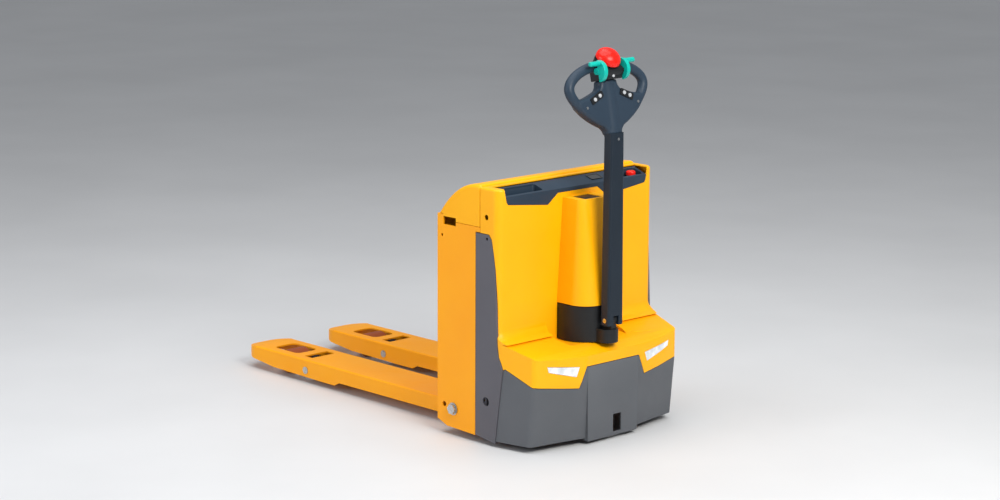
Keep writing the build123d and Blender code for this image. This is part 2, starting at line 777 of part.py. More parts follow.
def tray_region(grow, start):
    """Space of the instrument tray seen from the front, from start forwards."""
    top = tower_top + 30
    edge = half_body - 30 + grow
    points = [(-edge, top), (-edge, 842), (8 - edge, 808 - grow), (44 - half_body, 799 - grow),
              (-137, 778 - grow), (-92 + grow, 812 - grow), (92 - grow, 812 - grow), (137, 778 - grow),
              (half_body - 44, 799 - grow), (edge - 8, 808 - grow), (edge, 842), (edge, top)]
    return front_prism(points, start, tower_front + 20)


def instrument_tray():
    """Dark tray on the tower: sloping deck, two pockets and an apron over the front wall."""
    envelope = hood_body(0) & tray_region(0, tray_start)
    deck_top = side_prism([(tray_start - 5, 900), (tray_start - 5, tray_back_z), (tower_front + 30, tray_front_z - 9),
                           (tower_front + 30, 900)], -400, 400)
    body = envelope - deck_top
    inside = side_prism([(tray_start + tray_wall, 700), (tower_front - tray_wall, 700),
                         (tower_front - tray_wall, tray_front_z - 8), (tray_start + tray_wall, tray_back_z - 8)],
                        36 - half_body, half_body - 36)
    tubs = None
    pockets = None
    for side in (-1, 1):
        start = left_pocket_start if side > 0 else pocket_start
        low, high = sorted((side * start, side * pocket_end))
        tub = block(tray_start + 4, tower_front - 3, low - 3, high + 3, tray_floor - 4, 836)
        pocket = block(tray_start + 8, tower_front - 9, low, high, tray_floor, 900)
        pocket = fillet(pocket.edges().filter_by(Axis.Z), 8)
        tubs = tub if tubs is None else tubs + tub
        pockets = pocket if pockets is None else pockets + pocket
    body = body - (inside - tubs)
    body = body - pockets
    body -= rod_z_axis(stop_x, stop_y, 6.5, 780, 830)
    body -= rod_z_axis(key_x, key_y, 9.1, 780, 860)
    return body


def deck_plane(x, y, lift):
    """Plane lying on the sloping deck at x, y, raised by lift."""
    slope = (tray_front_z - 9 - tray_back_z) / (tower_front + 30 - tray_start + 5)
    z = tray_back_z + slope * (x - tray_start + 5)
    normal = Vector(-slope, 0, 1).normalized()
    return Plane(origin=Vector(x, y, z) + normal * lift, x_dir=(0, 1, 0), z_dir=normal)


def display_unit():
    """Small battery display with a raised rim."""
    plane = deck_plane(display_x, display_y, 0)
    body = extrude(plane * RectangleRounded(54, 34, 5), amount=3)
    body -= extrude(deck_plane(display_x, display_y, 2) * RectangleRounded(46, 26, 3), amount=3)
    return body


def key_switch():
    """Key switch barrel in the deck."""
    barrel = rod_z_axis(key_x, key_y, 9, 805, 842)
    barrel += rod_z_axis(key_x, key_y, 12, 838, 843)
    return barrel - rod_z_axis(key_x, key_y, 2.5, 826, 844)


def key():
    """Key with an oval bow."""
    bow = Pos(key_x, key_y, 856) * Rot(90, 0, 0) * Cylinder(9, 3)
    shank = block(key_x - 1.5, key_x + 1.5, key_y - 1.5, key_y + 1.5, 828, 850)
    return bow + shank - Pos(key_x, key_y, 860) * Rot(90, 0, 0) * Cylinder(2.5, 5)


def stop_base():
    """Round base of the emergency stop."""
    base = rod_z_axis(stop_x, stop_y, stop_radius + 1, tray_floor, tray_floor + 6)
    return base - rod_z_axis(stop_x, stop_y, 6 + free_gap, 800, 830)


def emergency_stop():
    """Mushroom head on its stem."""
    head = rod_z_axis(stop_x, stop_y, stop_radius, 824, 838)
    head = fillet(head.edges().sort_by(Axis.Z)[-1], 6)
    neck = rod_z_axis(stop_x, stop_y, 9, tray_floor + 6 + stop_travel + 0.5, 824)
    return head + neck + rod_z_axis(stop_x, stop_y, 6, 792, 824)


def column_cover():
    """Cover over the drive motor: round at the bracket, narrower and squarer at its open top."""
    def section(z, half, front, radius, inset):
        points = [(tower_front - 0 if inset == 0 else 200, -half + inset), (front - inset, -half + inset),
                  (front - inset, half - inset), (tower_front - 0 if inset == 0 else 200, half - inset)]
        return outline(points, [0, radius - inset, radius - inset, 0], z)

    def body(inset):
        low = section(column_low - inset * 0.5, 92, drive_x + 95, 70, inset)
        high = section(column_top + inset * 0.5, 69, drive_x + 50, 26, inset)
        return loft([low, high], ruled=True)

    shell = body(0) - body(column_wall)
    cap = body(0) & block(200, 500, -100, 100, column_top - 5, column_top + 5)
    cap -= block(tower_front + 6, drive_x + 40, -41, 41, column_top - 10, column_top + 10)
    return shell + cap


def bearing_ring(inner, outer, low, high):
    """Plain ring about the steering axis."""
    return rod_z_axis(drive_x, 0, outer, low, high) - rod_z_axis(drive_x, 0, inner, low - 1, high + 1)


def steering_bearing_outer():
    """Outer race, seated in the drive plate and flanged on top of it."""
    ring = bearing_ring(62, bearing_radius, drive_plate_z, drive_plate_z + drive_plate)
    return ring + bearing_ring(62, 84, drive_plate_z + drive_plate, drive_plate_z + drive_plate + 5)


def pump_motor():
    """Hydraulic pump motor lying across the chassis, on the castor plate."""
    z = castor_plate_z + castor_plate + 52
    body = rod_y(300, z, 44, -270, -150)
    body += rod_y(300, z, 30, -150, -134)
    return body + block(270, 330, -216, -160, castor_plate_z + castor_plate, z)


def oil_tank():
    """Oil tank above the drive plate's left end, behind the tower wall."""
    tank = block(bulkhead_x + bulkhead_plate, tower_front - 8, -330, -150, 360, 560)
    tank = fillet(tank.edges().filter_by(Axis.Z), 8)
    return tank + rod_z_axis(255, -240, 14, 558, 572)


def motor_controller():
    """Motor controller on the bulkhead with a ribbed base plate."""
    back = bulkhead_x + bulkhead_plate
    body = block(back, back + 6, 140, 330, 420, 640)
    body += block(back + 6, tower_front - 8, 150, 320, 430, 630)
    for index in range(5):
        y = 170 + index * 32
        body += block(tower_front - 9, tower_front - 6, y, y + 12, 450, 520)
    return body


def castor_fork(side):
    """Swivel fork: stem, crown, two legs trailing behind the stem and the riveted wheel axle."""
    y = side * castor_y
    crown_z = castor_plate_z - 8
    fork_x = castor_x - castor_trail
    body = rod_z_axis(castor_x, y, castor_stem_radius, crown_z, castor_plate_z + castor_plate)
    body += rod_z_axis(castor_x, y, castor_stem_radius + 4, castor_plate_z + castor_plate + free_gap,
                       castor_plate_z + castor_plate + 6)
    body += rod_z_axis(castor_x, y, castor_stem_radius, castor_plate_z, castor_plate_z + castor_plate + 2)
    body += rod_z_axis(castor_x, y, 26, crown_z - 8, castor_plate_z - free_gap)
    body += block(fork_x - 16, castor_x + 20, y - 27, y + 27, crown_z - 24, crown_z - 8)
    for end in (-1, 1):
        low, high = sorted((end * 21.5, end * 27))
        leg = block(fork_x - 16, castor_x + 8, y + low, y + high, castor_radius, crown_z - 20)
        leg += rod_y(fork_x, castor_radius, 16, y + low, y + high)
        body += leg
    body += rod_y(fork_x, castor_radius, 6, y - 27, y + 27)
    return body + rod_y(fork_x, castor_radius, 9.5, y - 31, y - 27) + rod_y(fork_x, castor_radius, 9.5, y + 27, y + 31)


def castor_wheel(side):
    """Solid castor wheel."""
    y = side * castor_y
    x = castor_x - castor_trail
    body = rod_y(x, castor_radius, castor_radius, y - castor_width / 2, y + castor_width / 2)
    body = fillet(body.edges().filter_by(GeomType.CIRCLE), 5)
    return body - rod_y(x, castor_radius, 6 + run_gap, y - 40, y + 40)


# ---------------------------------------------------------------- drive unit
def drive_motor():
    """Upright drive motor with cooling ribs."""
    low = drive_plate_z + drive_plate + 12
    body = rod_z_axis(drive_x, 0, motor_radius - 6, low, 460)
    for index in range(6):
        z = low + 14 + index * 24
        body += rod_z_axis(drive_x, 0, motor_radius, z, z + 8)
    return body + rod_z_axis(drive_x, 0, 40, 460, 480)


def gearbox():
    """Gearbox: neck through the bearing, head above the wheel and a leg beside it."""
    low = drive_plate_z + drive_plate + 6
    body = rod_z_axis(drive_x, 0, 50, 236, low)
    body += rod_z_axis(drive_x, 0, 72, low, low + 6)
    body += rod_z_axis(drive_x, 0, 66, 236, drive_plate_z - 4)
    body += block(drive_x - 40, drive_x + 40, 38, 78, wheel_radius, 240)
    body += rod_y(drive_x, wheel_radius, 40, 38, 78)
    body -= rod_y(drive_x, wheel_radius, axle_radius, 30, 90)
    return body


def steering_bearing_inner():
    """Inner race, pressed on the gearbox neck."""
    return bearing_ring(50, 62 - free_gap, drive_plate_z - 1, drive_plate_z + drive_plate + 5)


def wheel_axle():
    """Drive axle with its flange, fixed in the gearbox leg."""
    axle = rod_y(drive_x, wheel_radius, axle_radius, -30, 78)
    return axle


def wheel_hub():
    """Drive wheel hub with five bolt bosses."""
    rim = wheel_radius - tyre_depth
    half = wheel_width / 2
    body = rod_y(drive_x, wheel_radius, rim, -half, half)
    recess = rod_y(drive_x, wheel_radius, rim - 14, -half - 1, -half + 16)
    recess -= rod_y(drive_x, wheel_radius, 34, -half - 2, -half + 17)
    body -= recess
    body -= rod_y(drive_x, wheel_radius, axle_radius + run_gap, -half - 1, half + 1)
    for index in range(5):
        angle = radians(72 * index + 90)
        x = drive_x + 56 * cos(angle)
        z = wheel_radius + 56 * sin(angle)
        body += rod_y(x, z, 8, -half + 4, -half + 17)
    return body


def drive_tyre():
    """Polyurethane tyre with rounded shoulders."""
    half = wheel_width / 2
    body = rod_y(drive_x, wheel_radius, wheel_radius, -half, half)
    body = fillet(body.edges().filter_by(GeomType.CIRCLE), 6)
    return body - rod_y(drive_x, wheel_radius, wheel_radius - tyre_depth, -half - 1, half + 1)


def tiller_bracket():
    """Black bracket round the motor with a foot and a lug for the tiller."""
    body = rod_z_axis(drive_x, 0, boot_radius, boot_low, boot_high)
    body += rod_z_axis(nose_x, 0, foot_radius, boot_low, foot_top)
    body += block(drive_x + 60, nose_x, -foot_radius, foot_radius, boot_low, foot_top)
    body += block(drive_x + 60, tiller_x, -lug_half, lug_half, foot_top - 20, tiller_z + lug_height)
    body += block(nose_x - 10, tiller_x + 10, -lug_half, lug_half, foot_top - 20, tiller_z)
    body += rod_y(tiller_x, tiller_z, lug_height, -lug_half, lug_half)
    body -= rod_z_axis(drive_x, 0, boot_radius - boot_wall, boot_low - 5, boot_high + 5)
    body += bearing_ring(motor_radius, boot_radius, boot_low, boot_low + 8)
    body -= rod_y(tiller_x, tiller_z, tiller_pin_radius, -60, 60)
    return body


def tiller_pin():
    """Tiller hinge pin, fixed in the lug."""
    return rod_y(tiller_x, tiller_z, tiller_pin_radius, -pole_half_width + 0.5, pole_half_width - 0.5)


# ---------------------------------------------------------------- tiller
pole_plane = Plane(origin=(tiller_x, 0, tiller_z), x_dir=(0, 1, 0),
                   z_dir=(-sin(radians(pole_lean)), 0, cos(radians(pole_lean))))
head_plane = Plane(origin=(head_origin[0], 0, head_origin[1]), x_dir=(0, 1, 0),
                   z_dir=(cos(radians(head_lean)), 0, sin(radians(head_lean))))
head_up = Vector(-sin(radians(head_lean)), 0, cos(radians(head_lean)))
belly_axis = (head_plane.z_dir + head_up).normalized()


def head_point(out, up):
    """World x and z of a point of the head's middle plane, out from its face and up from the neck."""
    point = head_plane.origin + head_plane.z_dir * out + head_up * up
    return point.X, point.Z


def head_block(v0, v1, up0, up1, out0, out1):
    """Box in the head's own directions: across, up and out of its face."""
    centre = Pos((v0 + v1) / 2, (up0 + up1) / 2, (out0 + out1) / 2)
    return head_plane * centre * Box(v1 - v0, up1 - up0, out1 - out0)


def belly_plane(along):
    """Plane across the belly switch's axis."""
    x, z = head_point(belly_out, belly_up)
    return Plane(origin=Vector(x, 0, z) + belly_axis * along, x_dir=(0, 1, 0), z_dir=belly_axis)


def belly_disc(radius, low, high):
    """Round solid about the belly switch's axis."""
    return belly_plane(low) * extrude(Circle(radius), amount=high - low)


def pole_front_offset():
    """Distance from the hinge line to the middle of the pole."""
    return pole_front - tiller_x - pole_depth / 2 - 0.5


def pole_block(width, depth, low, high, radius):
    """Rounded bar along the pole, centred on it."""
    face = RectangleRounded(width, depth, radius)
    return pole_plane * Pos(0, -pole_front_offset(), low) * extrude(face, amount=high - low)


def pole_bar(wall, low, high):
    """Pole between two heights, tapering towards the head; wall is taken off all round."""
    faces = []
    for z in (low, high):
        share = (z - pole_bottom) / (pole_top - pole_bottom)
        half = pole_half_width + (pole_half_top - pole_half_width) * share
        face = RectangleRounded(2 * (half - wall), pole_depth - 2 * wall, 9 - wall)
        faces.append(pole_plane * Pos(0, -pole_front_offset(), z) * face)
    return loft(faces, ruled=True)


def tiller_pole():
    """Hollow pole with rounded edges, pivoted near its foot, and a tongue into the head."""
    body = pole_bar(0, pole_bottom, pole_top) - pole_bar(pole_wall, 40, pole_top - 8)
    body += tongue(0)
    body -= rod_y(tiller_x, tiller_z, tiller_pin_radius + run_gap, -60, 60)
    slot = 2 * (lug_half + lug_gap)
    body -= pole_block(slot, pole_depth * 2, pole_bottom - 5, lug_height + 1, 0.5)
    return body - pole_screw()


def tongue(grow):
    """Flat tongue from the pole's top into the hollow head, or the space left for it."""
    half = tongue_width / 2 + grow
    low = tongue_depth + head_tongue_gap
    return head_block(-half, half, -14, tongue_length + grow, -low - grow, -head_tongue_gap + grow)


def pole_screw():
    """Screw in the pole's front face, just under the head."""
    place = pole_plane * Pos(0, -pole_front_offset() - pole_depth / 2, pole_top - 20) * Rot(90, 0, 0)
    return place * Pos(0, 0, -4) * Cylinder(screw_radius / 2, 8) + place * Pos(0, 0, 0.9) * Cylinder(screw_radius, 1.8)


def head_outline(inset):
    """Face of the head: neck below, shoulders that carry the grips, narrow top above."""
    half = [(31, -6), (36, 8), (92, 38), (146, 78), (162, 108), (104, 118), (50, 134), (38, 152), (37, head_top)]
    points = [(x - inset, y + inset * (1 if y < 0 else -0.4)) for x, y in half]
    ring = points + [(-x, y) for x, y in reversed(points)]
    face = make_face(Polyline(*ring, close=True))
    bends = [v for v in face.vertices() if 0 < v.Y < head_top - 4]
    return fillet(bends, 9)


def head_layer(inset, top, low):
    """Slab of the head between two distances behind its face."""
    plane = Plane(origin=head_plane.origin - head_plane.z_dir * top, x_dir=(0, 1, 0), z_dir=head_plane.z_dir)
    return plane * extrude(head_outline(inset), amount=top - low)


def head_front_shell():
    """Front half of the head: dished shell with a raised centre ridge and holes for the buttons."""
    body = head_layer(0, 0, head_split) - head_layer(head_wall, head_wall, head_split + 1)
    ridge = [(-9, -2), (9, -2), (13, head_top), (-13, head_top)]
    body += head_plane * extrude(make_face(Polyline(*ridge, close=True)), amount=2.5)
    return head_trimmed(body)


def head_rear_shell():
    """Rear half of the head."""
    low = head_thickness - head_wall
    body = head_layer(0, head_split, head_thickness) - head_layer(head_wall, head_split - 1, low)
    return head_trimmed(body)


def head_trimmed(body):
    """Leave room for the tongue, the grips, the button bases, the screws and the control housing."""
    body -= tongue(0.3)
    body -= pole_block(2 * pole_half_width, pole_depth + 2, pole_top - 30, pole_top + 0.3, 9)
    for side in (-1, 1):
        body -= grip(side)
        body -= button_base_place(side) * Box(base_length + 0.4, base_width + 0.4, 20)
        body -= head_plane * Pos(side * screw_across, screw_up, 0) * Cylinder(screw_radius / 2, 20)
    return body


def grip(side):
    """One half of the ring: an oval tube bent round the hand space, from shoulder to control housing."""
    points = [(146 * side, 78), (170 * side, 110), (173 * side, 146), (148 * side, 183), (98 * side, 207),
              (housing_half * side, 215)]
    plane = Plane(origin=head_plane.origin - head_plane.z_dir * grip_depth, x_dir=(0, 1, 0),
                  z_dir=head_plane.z_dir)
    path = plane * Spline(*points)
    section = Plane(origin=path @ 0, x_dir=head_plane.z_dir, z_dir=path % 0) * Ellipse(grip_radius, grip_radius - 1)
    tube = sweep(section, path=path)
    limit = head_block(-housing_half, housing_half, 150, 300, -80, 80)
    return tube - limit


def control_housing():
    """Black housing between the wings: drum round their shaft, neck below it, seat for the belly switch."""
    x, z = head_point(wing_out, wing_up)
    body = rod_y(x, z, drum_radius, -housing_half, housing_half)
    block_low = head_block(-housing_half, housing_half, head_top, wing_up + 8, -head_thickness, drum_radius - 4)
    body += fillet(block_low.edges().filter_by(Axis.Y), 4)
    body += head_block(-housing_half, housing_half, wing_up, belly_up - 6, -head_thickness, -4)
    body += belly_disc(housing_half - 2, -44, -15) & head_block(-60, 60, wing_up - 20, 300, -head_thickness, 80)
    body += belly_disc(housing_half - 1, -16, -belly_travel - 1)
    body -= rod_y(x, z, control_shaft_radius + run_gap, -60, 60)
    body -= belly_disc(8 + free_gap, -34, 0)
    body -= belly_disc(housing_half + 20, -belly_travel - 1, 90)
    body -= horn_place() * Pos(0, 0, -4) * Cylinder(5 + free_gap, 30)
    body -= grip(1)
    body -= grip(-1)
    return body


def belly_switch():
    """Red dome on its stem."""
    profile = Line((0, 0), (dome_radius, 0)) + Line((dome_radius, 0), (dome_radius, 3))
    shoulder = (dome_radius * cos(radians(45)), 3 + dome_height * sin(radians(45)))
    profile += Spline((dome_radius, 3), shoulder, (0, 3 + dome_height), tangents=((0, 1), (-1, 0)))
    profile += Line((0, 3 + dome_height), (0, 0))
    dome = revolve(Plane.XZ * make_face(profile), axis=Axis.Z)
    return belly_plane(0) * dome + belly_disc(8, -26, 1)


def control_shaft():
    """Shaft of the travel control."""
    x, z = head_point(wing_out, wing_up)
    return rod_y(x, z, control_shaft_radius, -wing_end + 2, wing_end - 2)


def control_wing(side):
    """One wing of the travel control: a crescent for the thumb, with a lug at its top end."""
    low, high = sorted((side * wing_start, side * wing_end))
    x, z = head_point(wing_out, wing_up)
    disc = rod_y(x, z, wing_radius, low, high)
    rim = [e for e in disc.edges() if abs(e.center().Y - side * wing_end) < 0.1 and e.length > 100]
    disc = fillet(rim, 5)
    keep = head_block(-60, 60, wing_up - 36, wing_up + 36, wing_out + 6, wing_out + 60)
    body = (disc & keep) + rod_y(x, z, 11, low, high)
    turn = radians(60)
    out = wing_out + (wing_radius - 8) * cos(turn)
    up = wing_up + (wing_radius - 8) * sin(turn)
    lug_x, lug_z = head_point(out, up)
    start, end = sorted((side * (wing_start + 2), side * lug_end))
    lug = rod_y(lug_x, lug_z, 8, start, end)
    tip = [e for e in lug.edges() if abs(e.center().Y - side * lug_end) < 0.1]
    body += fillet(tip, 5)
    return body - rod_y(x, z, control_shaft_radius, -60, 60)


def button_base_place(side):
    """Place of a button base on the head's face."""
    return head_plane * Pos(side * base_across, base_up, 0) * Rot(0, 0, -side * base_turn)


def button_base(side):
    """Black base of two push buttons, let into the face."""
    body = button_base_place(side) * Box(base_length, base_width, 6)
    body = fillet(body.edges().filter_by(lambda e: abs(e.length - 6) < 0.01), 5)
    for place in button_places(side):
        body -= place * Cylinder(button_radius + free_gap, 30)
    return body


def button_places(side):
    """Inner and outer button of one base."""
    return [button_base_place(side) * Pos(side * shift, 0, 0) for shift in (-button_pitch / 2, button_pitch / 2)]


def push_button(side, index):
    """Round push button with a softened rim."""
    body = Pos(0, 0, 3) * Cylinder(button_radius, 7)
    body = fillet(body.edges().sort_by(Axis.Z)[-1], 2)
    return button_places(side)[index] * body


def horn_place():
    """Place of the horn button on the drum's front."""
    return head_plane * Pos(0, horn_up, drum_radius - 4)


def horn_button():
    """Small round horn button."""
    body = Pos(0, 0, 0) * Cylinder(5, 8)
    body = fillet(body.edges().sort_by(Axis.Z)[-1], 1.5)
    return horn_place() * body


def head_screws():
    """Two screws in the head and one in the pole."""
    screws = [pole_screw()]
    for side in (-1, 1):
        place = head_plane * Pos(side * screw_across, screw_up, 0)
        screw = place * Pos(0, 0, -2) * Cylinder(screw_radius / 2, 4) + place * Pos(0, 0, 0.9) * Cylinder(screw_radius, 1.8)
        screws.append(screw)
    return screws


def main():
    os.makedirs("parts", exist_ok=True)
    sides = ((-1, "right"), (1, "left"))
    for side, word in sides:
        write(f"{word}_fork", fork(side))
        write(f"{word}_load_roller", load_roller(side))
        write(f"{word}_castor_fork", castor_fork(side))
        write(f"{word}_castor_wheel", castor_wheel(side))
        write(f"{word}_inner_button", push_button(side, 0))
        write(f"{word}_outer_button", push_button(side, 1))
    pairs = (
        ("rockers", rocker), ("rocker_pins", fork_pins), ("roller_axles", roller_axle), ("push_rods", push_rod),
        ("cranks", crank), ("grips", grip), ("control_wings", control_wing), ("button_bases", button_base),
    )
    for name, maker in pairs:
        write(name, [maker(side) for side, word in sides])
    write("front_lights", [lens_body(side, 0) for side, word in sides])
    singles = (
        cross_shaft, battery_box, battery, battery_connector, battery_lid, lid_hinge, guide_pads, lift_rod,
        chassis_frame, lift_cylinder, front_skirt, motor_hood, instrument_tray, display_unit, key_switch, key,
        stop_base, emergency_stop, column_cover, steering_bearing_outer, pump_motor, oil_tank, motor_controller,
        drive_motor, gearbox, steering_bearing_inner, wheel_axle, wheel_hub, drive_tyre, tiller_bracket,
        tiller_pin, tiller_pole, head_front_shell, head_rear_shell, control_housing, belly_switch,
        control_shaft, horn_button, head_screws,
    )
    for maker in singles:
        write(maker.__name__, maker())


if __name__ == "__main__":
    main()
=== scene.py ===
"""Looks of the electric pallet truck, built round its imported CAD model. Metres, in the row frame."""
import json
from math import cos, radians, sin

import bmesh
import bpy
from mathutils import Matrix, Vector

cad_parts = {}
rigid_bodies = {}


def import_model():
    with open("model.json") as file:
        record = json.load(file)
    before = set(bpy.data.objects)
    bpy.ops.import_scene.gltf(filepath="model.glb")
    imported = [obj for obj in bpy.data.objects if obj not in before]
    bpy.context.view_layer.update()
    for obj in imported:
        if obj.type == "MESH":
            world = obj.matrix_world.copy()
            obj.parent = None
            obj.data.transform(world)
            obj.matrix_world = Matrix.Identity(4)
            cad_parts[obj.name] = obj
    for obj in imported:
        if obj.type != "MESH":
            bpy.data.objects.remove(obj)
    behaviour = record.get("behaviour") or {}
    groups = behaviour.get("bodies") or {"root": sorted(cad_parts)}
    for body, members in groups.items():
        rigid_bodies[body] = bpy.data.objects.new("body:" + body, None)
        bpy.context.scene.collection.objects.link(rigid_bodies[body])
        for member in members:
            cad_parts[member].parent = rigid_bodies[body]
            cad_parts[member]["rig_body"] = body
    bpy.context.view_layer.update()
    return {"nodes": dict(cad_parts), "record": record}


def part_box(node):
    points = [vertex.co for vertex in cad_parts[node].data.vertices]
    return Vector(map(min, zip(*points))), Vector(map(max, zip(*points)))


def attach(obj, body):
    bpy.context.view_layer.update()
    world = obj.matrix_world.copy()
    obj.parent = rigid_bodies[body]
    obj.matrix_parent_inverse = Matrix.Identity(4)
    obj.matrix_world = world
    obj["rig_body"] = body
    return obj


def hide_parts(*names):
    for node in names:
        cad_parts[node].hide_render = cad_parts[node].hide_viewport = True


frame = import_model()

NODES = frame["nodes"]
MM = 0.001

# ---------------------------------------------------------------- places taken from the frame
HEAD_LEAN = radians(12.5)
HEAD_ORIGIN = Vector((0.801, 0.0, 1.027))
HEAD_OUT = Vector((cos(HEAD_LEAN), 0.0, sin(HEAD_LEAN)))
HEAD_UP = Vector((-sin(HEAD_LEAN), 0.0, cos(HEAD_LEAN)))
HEAD_ACROSS = Vector((0.0, 1.0, 0.0))
HEAD_FRAME = Matrix((
    (HEAD_ACROSS.x, HEAD_UP.x, HEAD_OUT.x, HEAD_ORIGIN.x),
    (HEAD_ACROSS.y, HEAD_UP.y, HEAD_OUT.y, HEAD_ORIGIN.y),
    (HEAD_ACROSS.z, HEAD_UP.z, HEAD_OUT.z, HEAD_ORIGIN.z),
    (0.0, 0.0, 0.0, 1.0),
))


def linear(code):
    """A hex sRGB colour as linear red, green, blue and alpha."""
    parts = [int(code[i:i + 2], 16) / 255 for i in (1, 3, 5)]
    return [c / 12.92 if c <= 0.04045 else ((c + 0.055) / 1.055) ** 2.4 for c in parts] + [1.0]


# ---------------------------------------------------------------- materials
def add(tree, kind, inputs=None, **settings):
    """Adds one node, sets its own settings, and sets or links its inputs."""
    node = tree.nodes.new(kind)
    for name, value in settings.items():
        setattr(node, name, value)
    for name, value in (inputs or {}).items():
        if isinstance(value, bpy.types.NodeSocket):
            tree.links.new(value, node.inputs[name])
        else:
            node.inputs[name].default_value = value
    return node


def start(name, roughness, metallic=0.0, ior=1.5, coat=0.0, coat_roughness=0.1, sheen_level=0.5):
    """A material with its shader, its place on the object and an empty slot for its pattern."""
    material = bpy.data.materials.new(name)
    material.use_nodes = True
    tree = material.node_tree
    shader = tree.nodes["Principled BSDF"]
    shader.inputs["Roughness"].default_value = roughness
    shader.inputs["Metallic"].default_value = metallic
    shader.inputs["IOR"].default_value = ior
    shader.inputs["Specular IOR Level"].default_value = sheen_level
    shader.inputs["Coat Weight"].default_value = coat
    shader.inputs["Coat Roughness"].default_value = coat_roughness
    place = add(tree, "ShaderNodeTexCoord").outputs["Object"]
    return material, tree, shader, place


def grain(tree, shader, place, size_mm, height_mm, detail=2.0, strength=1.0):
    """Fine relief of the surface: grains of the given size and depth."""
    noise = add(tree, "ShaderNodeTexNoise", {"Vector": place, "Scale": 1.0 / (size_mm * MM), "Detail": detail})
    bump = add(tree, "ShaderNodeBump", {"Height": noise.outputs["Fac"], "Distance": height_mm * MM,
                                        "Strength": strength})
    tree.links.new(bump.outputs["Normal"], shader.inputs["Normal"])
    return noise


def tint(tree, shader, place, colour, shade, patch_mm, share=0.5):
    """Base colour that drifts slightly between two tones in patches of the given size."""
    drift = add(tree, "ShaderNodeTexNoise", {"Vector": place, "Scale": 1.0 / (patch_mm * MM), "Detail": 4.0})
    ramp = add(tree, "ShaderNodeMapRange", {"Value": drift.outputs["Fac"], "From Min": 0.35, "From Max": 0.7,
                                            "To Min": 0.0, "To Max": share})
    mix = add(tree, "ShaderNodeMix", {"Factor": ramp.outputs["Result"]}, data_type="RGBA")
    mix.inputs["A"].default_value = linear(colour)
    mix.inputs["B"].default_value = linear(shade)
    tree.links.new(mix.outputs["Result"], shader.inputs["Base Color"])
    return mix


def gloss_drift(tree, shader, place, low, high, patch_mm):
    """Roughness that drifts between two values, as handling and cleaning leave it."""
    drift = add(tree, "ShaderNodeTexNoise", {"Vector": place, "Scale": 1.0 / (patch_mm * MM), "Detail": 5.0,
                                             "Roughness": 0.6})
    ramp = add(tree, "ShaderNodeMapRange", {"Value": drift.outputs["Fac"], "From Min": 0.3, "From Max": 0.7,
                                            "To Min": low, "To Max": high})
    tree.links.new(ramp.outputs["Result"], shader.inputs["Roughness"])


def powder_coat(name, colour, shade, roughness=0.42):
    """Powder coat on steel: a satin skin with orange peel about 2 mm across."""
    material, tree, shader, place = start(name, roughness, coat=0.04, coat_roughness=0.25, sheen_level=0.3)
    tint(tree, shader, place, colour, shade, 260)
    grain(tree, shader, place, 2.2, 0.035)
    gloss_drift(tree, shader, place, roughness - 0.06, roughness + 0.08, 90)
    return material


def moulded(name, colour, shade, roughness=0.45, grain_mm=0.9, depth_mm=0.03):
    """Injection moulded plastic: a fine spark-eroded grain under a low sheen."""
    material, tree, shader, place = start(name, roughness, ior=1.49, sheen_level=0.32)
    tint(tree, shader, place, colour, shade, 180)
    grain(tree, shader, place, grain_mm, depth_mm, detail=1.0)
    gloss_drift(tree, shader, place, roughness - 0.05, roughness + 0.07, 70)
    return material


def bright_metal(name, colour, shade, roughness=0.3, line_mm=0.6):
    """Zinc plated or turned steel: fine lines drawn round the part and a slightly clouded shine."""
    material, tree, shader, place = start(name, roughness, metallic=1.0)
    tint(tree, shader, place, colour, shade, 12, share=0.8)
    grain(tree, shader, place, line_mm, 0.02, detail=0.5)
    gloss_drift(tree, shader, place, roughness - 0.08, roughness + 0.12, 9)
    return material


# Epoxy powder coat on welded steel gives the carriage and forks a warm, satin amber.
CARRIAGE_COAT = powder_coat("powder_coat_amber", "#FFA900", "#FA9D00", 0.46)
# Dyed ABS covers are a clearer yellow than the steel, with a soft highlight on each bend.
COVER_ABS = moulded("moulded_abs_yellow", "#FFB400", "#FFAA00", 0.40, 1.4, 0.018)
# The chassis strip is powder coated steel in a neutral mid grey.
STRIP_COAT = powder_coat("powder_coat_grey", "#5D5C63", "#535258", 0.46)
# The skirt is grained polypropylene, which scatters light more than the paint does.
SKIRT_PP = moulded("moulded_pp_grey", "#5B5E63", "#515459", 0.5, 1.1, 0.05)
# Glass filled nylon in blue-grey, for the tiller head and the instrument tray.
HEAD_NYLON = moulded("moulded_nylon_slate", "#293949", "#23303E", 0.46, 0.8, 0.04)
# The pole is an extruded tube with a slate powder coat.
POLE_COAT = powder_coat("powder_coat_slate", "#182430", "#131D27", 0.44)
# Black nylon parts have the same grain, with a slightly greasy sheen.
BLACK_NYLON = moulded("moulded_nylon_black", "#1C1E21", "#141618", 0.42, 0.9, 0.04)
# Black chassis paint, brushed or sprayed on brackets and tanks.
CHASSIS_BLACK = powder_coat("chassis_paint_black", "#1B1C1E", "#131416", 0.5)
# Cast iron under grey primer has a coarse sand-cast skin.
CASTING = moulded("sand_cast_iron", "#4C4D4F", "#3E3F41", 0.62, 2.6, 0.14)
# Zinc plated steel of screws, pins and shafts.
ZINC = bright_metal("zinc_plated_steel", "#C9CBCC", "#AEB0B2", 0.28)
# Cast polyurethane of the load rollers is a translucent rust brown, scuffed dull on its tread.
ROLLER_PU = moulded("cast_polyurethane_brown", "#9A4B22", "#7C3716", 0.40, 3.0, 0.03)
# Black rubber compound of the drive tyre, dusted by the floor.
TYRE_RUBBER = moulded("tyre_rubber", "#2A2A2B", "#3A3936", 0.75, 2.0, 0.08)
# Grey-black polyurethane of the castor treads.
CASTOR_PU = moulded("castor_polyurethane", "#3A3B3D", "#2E2F31", 0.5, 2.0, 0.04)
